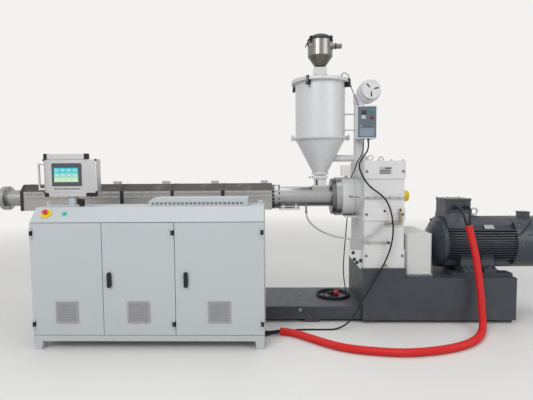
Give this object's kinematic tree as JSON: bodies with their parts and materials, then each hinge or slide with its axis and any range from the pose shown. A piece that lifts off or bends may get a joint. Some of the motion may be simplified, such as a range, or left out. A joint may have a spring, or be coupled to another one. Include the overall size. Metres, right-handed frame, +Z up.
{
  "type": "single-screw plastic extruder with hopper dryer and control cabinet",
  "caption": "Plastic extruder: covered barrel, gearbox and finned motor on a welded frame, hopper dryer with loader on top, and a control cabinet with doors and a swivelling operator pod.",
  "frame": {"origin": "on the floor, under the plan centre of the machine without its loose cords", "axes": "+X along the screw from the head flange towards the motor, +Y from the cabinet's doors towards the screw line, +Z up"},
  "size_m": [5.95, 1.5949, 3.011],
  "materials": {
    "slate_paint": "slate blue-grey machine paint, satin",
    "pad_steel": "dark machined steel",
    "barrel_steel": "turned steel with a dull sheen",
    "heater_band": "cast aluminium heater band",
    "perforated_sheet": "perforated stainless sheet",
    "black_band": "black painted band",
    "feed_steel": "polished turned steel",
    "white_paint": "white machine paint, satin",
    "dark_flange": "dark turned steel",
    "brass_fitting": "brass",
    "yellow_cap": "yellow plastic",
    "guard_grey": "light grey powder coat",
    "motor_paint": "dark blue-grey motor paint",
    "bright_steel": "zinc-plated steel",
    "cabinet_paint": "light grey textured powder coat",
    "galvanised": "galvanised sheet",
    "black_plastic": "black moulded plastic",
    "loader_steel": "mirror polished stainless",
    "button_plastic": "red, yellow and green moulded plastic",
    "pod_aluminium": "light grey aluminium profile",
    "screen_bezel": "slate bezel round a lit screen",
    "red_conduit": "red corrugated plastic",
    "cable_rubber": "black cable jacket",
    "clear_hose": "pale clear hose",
    "red_plug": "red and grey moulded plug"
  },
  "bodies": {
    "machine": {"base_frame": "slate_paint", "bed_frame": "slate_paint", "floor_pads": "pad_steel", "barrel": "barrel_steel", "barrel_heaters": "heater_band", "barrel_covers": "perforated_sheet", "cover_straps": "black_band", "feed_section": "feed_steel", "feed_tray": "white_paint", "ring_flange": "dark_flange", "bearing_housing": "white_paint", "gearbox_lower_case": "white_paint", "gearbox_upper_case": "white_paint", "gearbox_cover": "white_paint", "pipes_and_fittings": "brass_fitting", "shaft_end_cap": "yellow_cap", "coupling_guard": "guard_grey", "lifting_eyes": "bright_steel", "motor_housing": "motor_paint", "motor_cowl": "motor_paint", "motor_terminal_box": "motor_paint", "throat_neck": "white_paint", "hopper_shell": "white_paint", "hopper_lid": "white_paint", "hopper_clamps": "black_plastic", "loader_body": "loader_steel", "loader_lid": "dark_flange", "dryer_heater": "white_paint", "dryer_blower": "white_paint", "dryer_control_box": "white_paint", "junction_box": "white_paint", "cabinet_base": "cabinet_paint", "cabinet_sides": "cabinet_paint", "cabinet_back": "cabinet_paint", "cabinet_top": "cabinet_paint", "cabinet_posts": "cabinet_paint", "mounting_plate": "galvanised", "hinge_pins": "black_plastic", "top_vent_cover": "cabinet_paint", "push_buttons": "button_plastic", "operator_post": "cabinet_paint", "conduit": "red_conduit", "motor_cables": "cable_rubber", "conduit_tails": "cable_rubber", "dryer_lead": "cable_rubber", "dryer_lead_coil": "cable_rubber", "dryer_plug": "red_plug", "control_cable": "cable_rubber", "water_hose": "clear_hose", "sensor_cable": "cable_rubber"},
    "left_door": {"door_left": "cabinet_paint", "door_left_fittings": "black_plastic"},
    "middle_door": {"door_middle": "cabinet_paint", "door_middle_fittings": "black_plastic"},
    "right_door": {"door_right": "cabinet_paint", "door_right_fittings": "black_plastic"},
    "pod": {"operator_pod": "pod_aluminium", "pod_screen": "screen_bezel", "pod_handles": "pod_aluminium"},
    "gate": {"slide_gate": "feed_steel"}
  },
  "joints": [
    {"name": "left_door_hinge", "type": "hinge", "parent": "machine", "child": "left_door", "pos_m": [-2.092, -0.7085, 0.63], "axis": [0, 0, -1], "range_deg": [0, 110]},
    {"name": "middle_door_hinge", "type": "hinge", "parent": "machine", "child": "middle_door", "pos_m": [-0.8615, -0.7085, 0.63], "axis": [0, 0, 1], "range_deg": [0, 110]},
    {"name": "right_door_hinge", "type": "hinge", "parent": "machine", "child": "right_door", "pos_m": [-0.088, -0.7085, 0.63], "axis": [0, 0, 1], "range_deg": [0, 110]},
    {"name": "pod_swivel", "type": "hinge", "parent": "machine", "child": "pod", "pos_m": [-1.835, -0.4375, 1.35], "axis": [0, 0, 1], "range_deg": [-60, 60]},
    {"name": "gate_slide", "type": "slide", "parent": "machine", "child": "gate", "axis": [-1, 0, 0], "range_m": [0, 0.11]}
  ]
}
